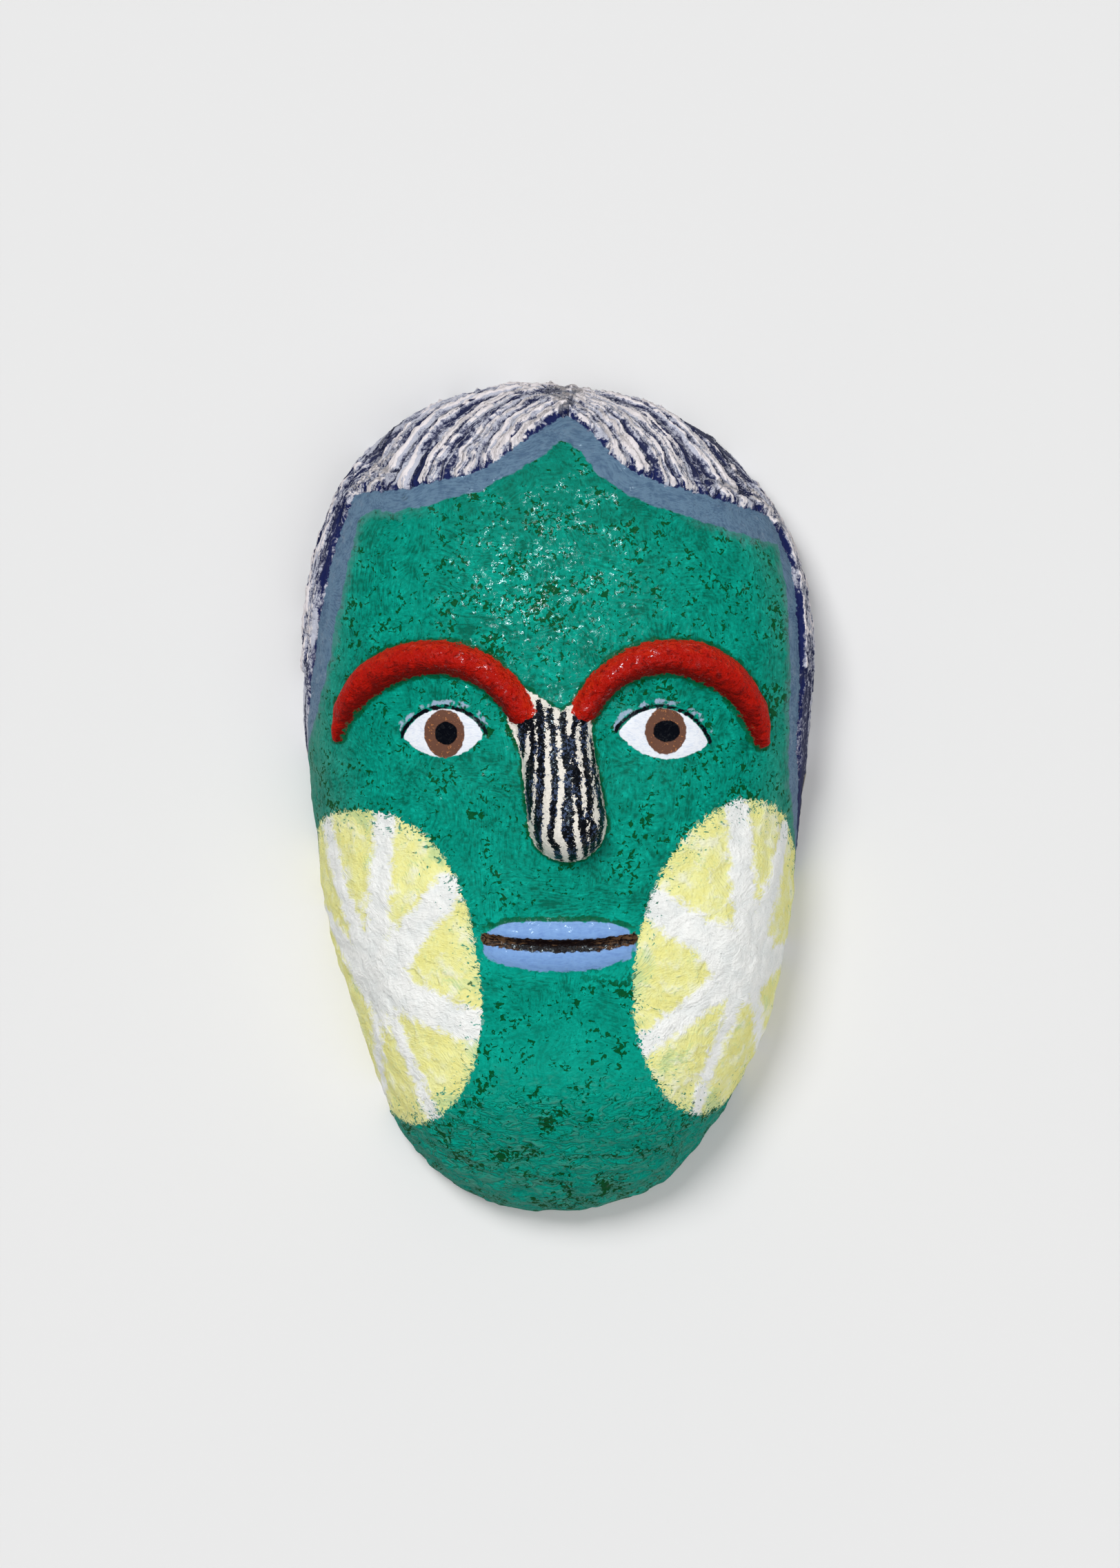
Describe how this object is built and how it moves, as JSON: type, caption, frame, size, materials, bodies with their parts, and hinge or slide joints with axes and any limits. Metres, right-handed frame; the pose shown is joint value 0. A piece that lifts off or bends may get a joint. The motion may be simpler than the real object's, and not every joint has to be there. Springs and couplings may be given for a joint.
{
  "type": "papier-mache face mask",
  "caption": "Hollow painted papier-mache face mask with raised brows, a long nose, lips and combed hair, open at the back with a flat rim.",
  "frame": {"origin": "under the middle of the mask's box, in the plane of its flat rim", "axes": "+Z out of the face, +Y to the crown of the head, +X to the viewer's right"},
  "size_m": [0.186, 0.2999, 0.086],
  "materials": {
    "painted_pulp": "rough papier-mache pulp, hand painted, with a thin uneven varnish over the front"
  },
  "bodies": {
    "root": {"mask": "painted_pulp"}
  },
  "joints": []
}
